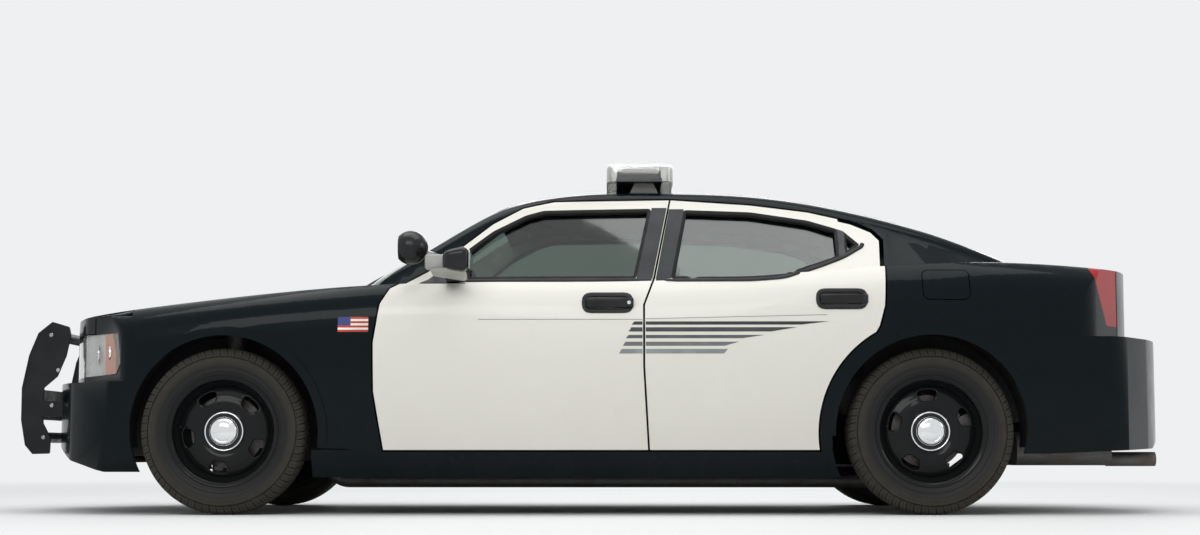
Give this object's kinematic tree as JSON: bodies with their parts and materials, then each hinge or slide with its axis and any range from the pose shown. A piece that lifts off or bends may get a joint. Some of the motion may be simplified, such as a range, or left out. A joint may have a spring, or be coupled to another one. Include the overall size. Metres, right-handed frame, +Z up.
{
  "type": "police patrol car",
  "caption": "Four-door patrol saloon in black and white with push bumper, roof light bar, spotlight, opening doors, bonnet and boot lid, and steered wheels.",
  "frame": {"origin": "on the ground, under the middle of the whole car, push bumper included", "axes": "+X forward, +Y to the car's left, +Z up"},
  "size_m": [5.202, 2.19, 1.5619],
  "materials": {
    "black_paint": "gloss",
    "white_paint": "gloss",
    "tinted_glass": "gloss",
    "clear_lens": "gloss",
    "red_lens": "gloss",
    "black_plastic": "satin",
    "grey_plastic": "matte",
    "tyre_rubber": "matte",
    "black_wheel": "satin",
    "raw_steel": "satin",
    "cast_metal": "matte",
    "grey_metal": "satin",
    "dark_fabric": "matte",
    "floor_steel": "matte"
  },
  "bodies": {
    "body": {"side_frame_left": "black_paint", "side_frame_right": "black_paint", "roof_panel": "black_paint", "cowl": "black_plastic", "windshield": "tinted_glass", "rear_window": "tinted_glass", "fenders": "black_paint", "front_bumper": "black_paint", "rear_bumper": "black_paint", "headlamps": "clear_lens", "tail_lamps": "red_lens", "grille": "black_plastic", "wheel_liners": "grey_plastic", "floor_pan": "floor_steel", "front_rails": "floor_steel", "front_subframe": "raw_steel", "rear_subframe": "raw_steel", "engine_and_radiator": "cast_metal", "driveline": "raw_steel", "exhaust": "raw_steel", "dashboard": "grey_plastic", "steering_wheel": "black_plastic", "seats": "dark_fabric", "push_bumper": "black_wheel", "lightbar_lens": "clear_lens", "lightbar_base": "grey_metal", "spotlight": "black_plastic"},
    "front_left_door": {"door_front_left": "white_paint", "glass_front_left": "tinted_glass", "mirror_left": "black_plastic"},
    "front_right_door": {"door_front_right": "white_paint", "glass_front_right": "tinted_glass", "mirror_right": "black_plastic"},
    "rear_left_door": {"door_rear_left": "white_paint", "glass_rear_left": "tinted_glass"},
    "rear_right_door": {"door_rear_right": "white_paint", "glass_rear_right": "tinted_glass"},
    "hood": {"hood": "black_paint"},
    "trunk_lid": {"trunk_lid": "black_paint"},
    "front_left_knuckle": {"knuckle_front_left": "cast_metal"},
    "front_right_knuckle": {"knuckle_front_right": "cast_metal"},
    "front_left_wheel": {"wheel_front_left": "black_wheel", "tyre_front_left": "tyre_rubber"},
    "front_right_wheel": {"wheel_front_right": "black_wheel", "tyre_front_right": "tyre_rubber"},
    "rear_left_wheel": {"wheel_rear_left": "black_wheel", "tyre_rear_left": "tyre_rubber"},
    "rear_right_wheel": {"wheel_rear_right": "black_wheel", "tyre_rear_right": "tyre_rubber"}
  },
  "joints": [
    {"name": "front_left_door_hinge", "type": "hinge", "parent": "body", "child": "front_left_door", "pos_m": [0.941, 0.944, 0.7], "axis": [0, 0, -1], "range_deg": [0, 65]},
    {"name": "front_right_door_hinge", "type": "hinge", "parent": "body", "child": "front_right_door", "pos_m": [0.941, -0.944, 0.7], "axis": [0, 0, 1], "range_deg": [0, 65]},
    {"name": "rear_left_door_hinge", "type": "hinge", "parent": "body", "child": "rear_left_door", "pos_m": [-0.226, 0.954, 0.7], "axis": [0, 0, -1], "range_deg": [0, 65]},
    {"name": "rear_right_door_hinge", "type": "hinge", "parent": "body", "child": "rear_right_door", "pos_m": [-0.226, -0.954, 0.7], "axis": [0, 0, 1], "range_deg": [0, 65]},
    {"name": "hood_hinge", "type": "hinge", "parent": "body", "child": "hood", "pos_m": [0.991, 0, 1.03], "axis": [0, -1, 0], "range_deg": [0, 60]},
    {"name": "trunk_lid_hinge", "type": "hinge", "parent": "body", "child": "trunk_lid", "pos_m": [-1.829, 0, 1.135], "axis": [0, 1, 0], "range_deg": [0, 70]},
    {"name": "steer_left", "type": "hinge", "parent": "body", "child": "front_left_knuckle", "pos_m": [1.591, 0.725, 0.358], "axis": [0, 0, 1], "range_deg": [-35, 35]},
    {"name": "steer_right", "type": "hinge", "parent": "body", "child": "front_right_knuckle", "pos_m": [1.591, -0.725, 0.358], "axis": [0, 0, 1], "range_deg": [-35, 35]},
    {"name": "front_left_wheel_spin", "type": "hinge", "parent": "front_left_knuckle", "child": "front_left_wheel", "pos_m": [1.591, 0.8, 0.358], "axis": [0, 1, 0], "continuous": true},
    {"name": "front_right_wheel_spin", "type": "hinge", "parent": "front_right_knuckle", "child": "front_right_wheel", "pos_m": [1.591, -0.8, 0.358], "axis": [0, 1, 0], "continuous": true},
    {"name": "rear_left_wheel_spin", "type": "hinge", "parent": "body", "child": "rear_left_wheel", "pos_m": [-1.457, 0.8, 0.358], "axis": [0, 1, 0], "continuous": true},
    {"name": "rear_right_wheel_spin", "type": "hinge", "parent": "body", "child": "rear_right_wheel", "pos_m": [-1.457, -0.8, 0.358], "axis": [0, 1, 0], "continuous": true}
  ],
  "couplings": [
    {"joint": "steer_right", "follows": "steer_left", "ratio": 1}
  ]
}
